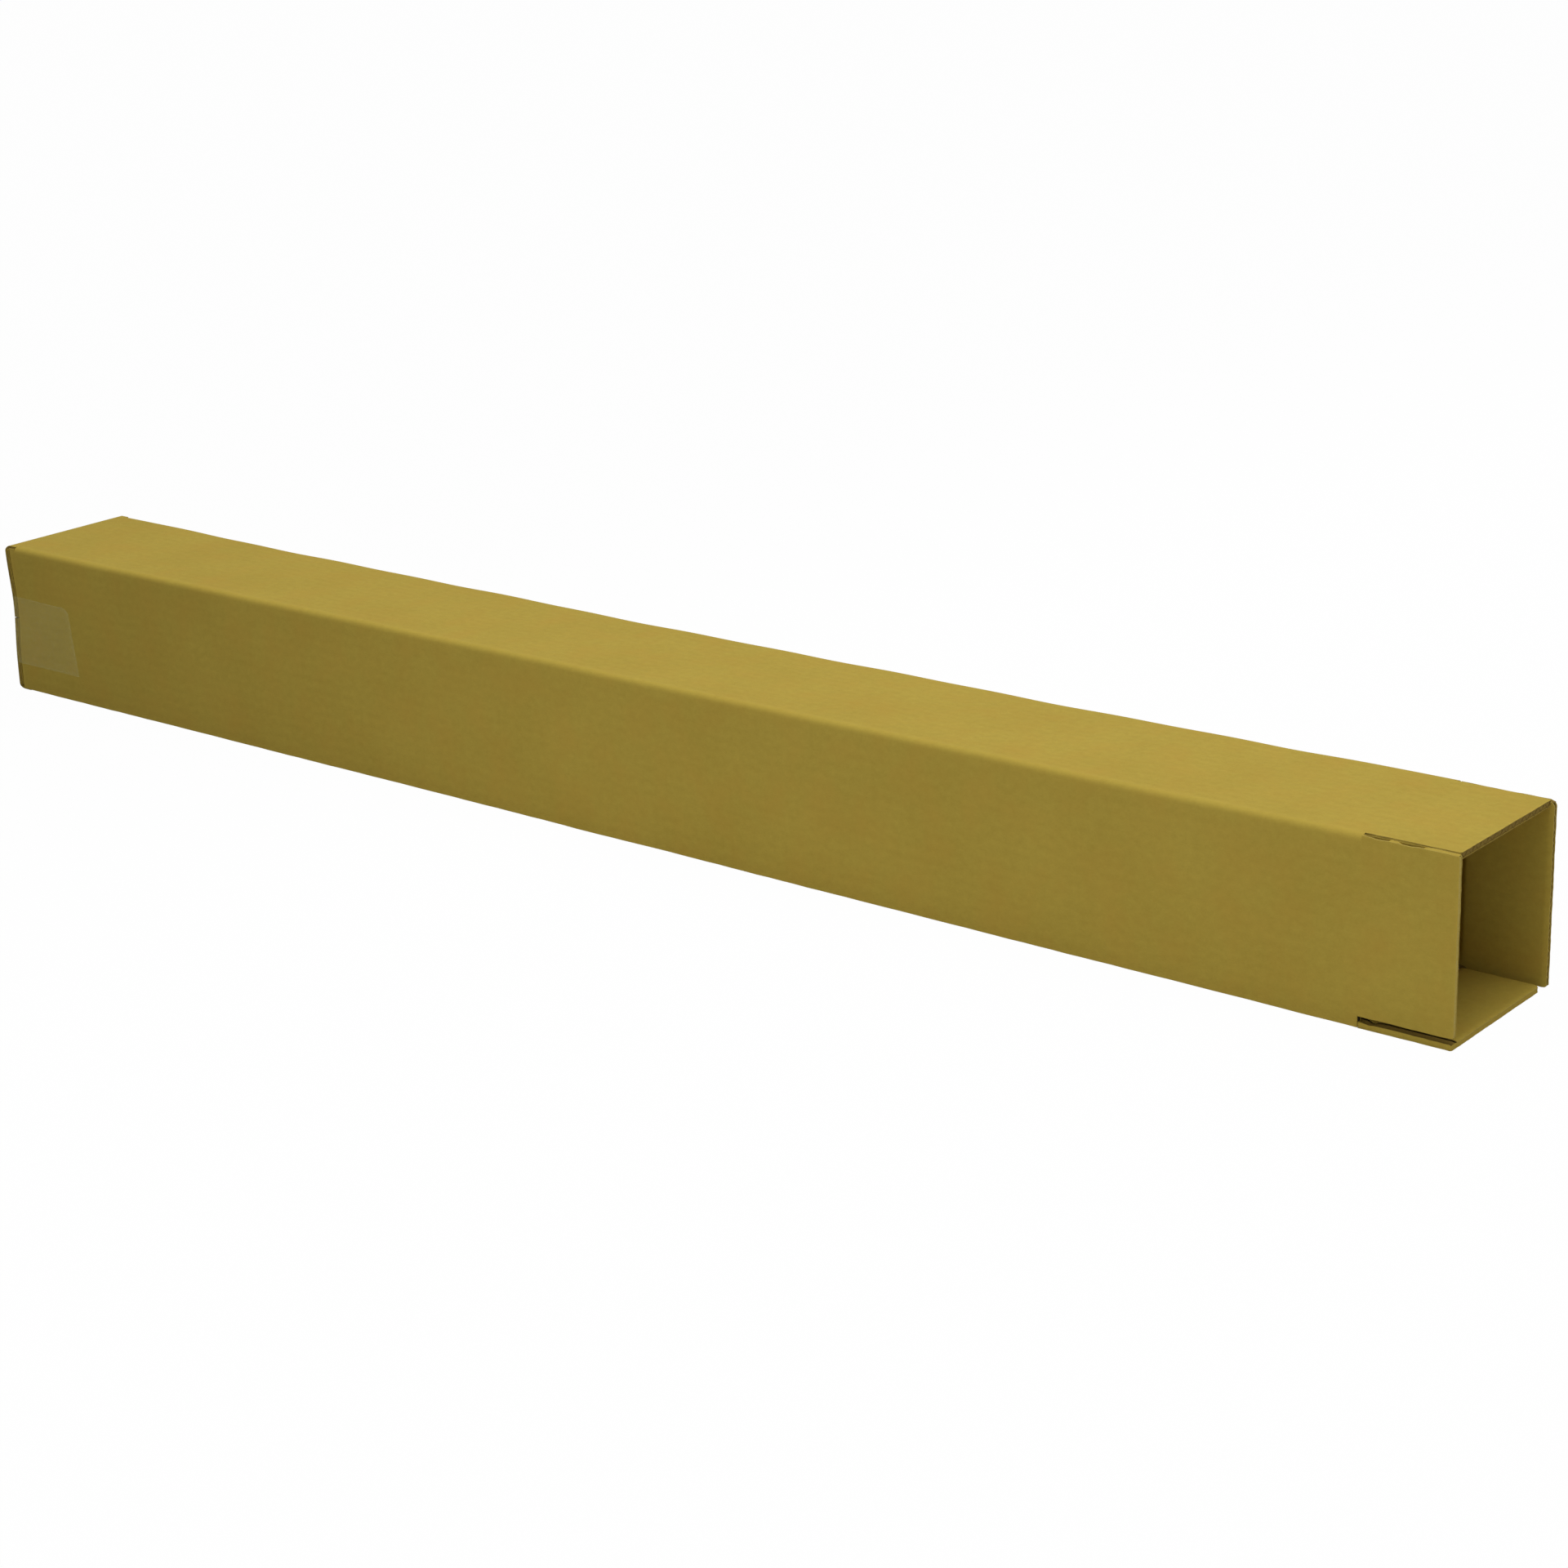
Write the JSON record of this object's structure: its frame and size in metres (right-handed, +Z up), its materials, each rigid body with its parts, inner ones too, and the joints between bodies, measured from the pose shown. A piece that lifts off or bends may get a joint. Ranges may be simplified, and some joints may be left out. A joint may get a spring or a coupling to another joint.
{
  "type": "long shipping box",
  "caption": "Long square corrugated shipping carton, folded shut and taped at one end, with its flaps standing open at the other.",
  "frame": {"origin": "on the surface that the box lies on, under the middle of its whole length and width", "axes": "+Z up from the bottom panel, +X along the box towards the open end, so the glued front panel faces -Y"},
  "size_m": [1.1846, 0.1102, 0.1096],
  "materials": {
    "kraft_board": "matt brown kraft liner with a faint fibre mottle and flute lines",
    "clear_tape": "clear glossy packing tape"
  },
  "bodies": {
    "carton": {"carton_body": "kraft_board", "end_tape": "clear_tape"},
    "top": {"top_flap": "kraft_board"},
    "front": {"front_flap": "kraft_board"},
    "bottom": {"bottom_flap": "kraft_board"},
    "back": {"back_flap": "kraft_board"}
  },
  "joints": [
    {"name": "top_flap_fold", "type": "hinge", "parent": "carton", "child": "top", "pos_m": [0.5422, 0, 0.1096], "axis": [0, 1, 0], "range_deg": [-175, 90]},
    {"name": "front_flap_fold", "type": "hinge", "parent": "carton", "child": "front", "pos_m": [0.5379, -0.0548, 0.0548], "axis": [0, 0, 1], "range_deg": [-175, 90]},
    {"name": "bottom_flap_fold", "type": "hinge", "parent": "carton", "child": "bottom", "pos_m": [0.5422, 0, 0], "axis": [0, -1, 0], "range_deg": [-175, 90]},
    {"name": "back_flap_fold", "type": "hinge", "parent": "carton", "child": "back", "pos_m": [0.5379, 0.0548, 0.0548], "axis": [0, 0, -1], "range_deg": [-175, 90]}
  ]
}
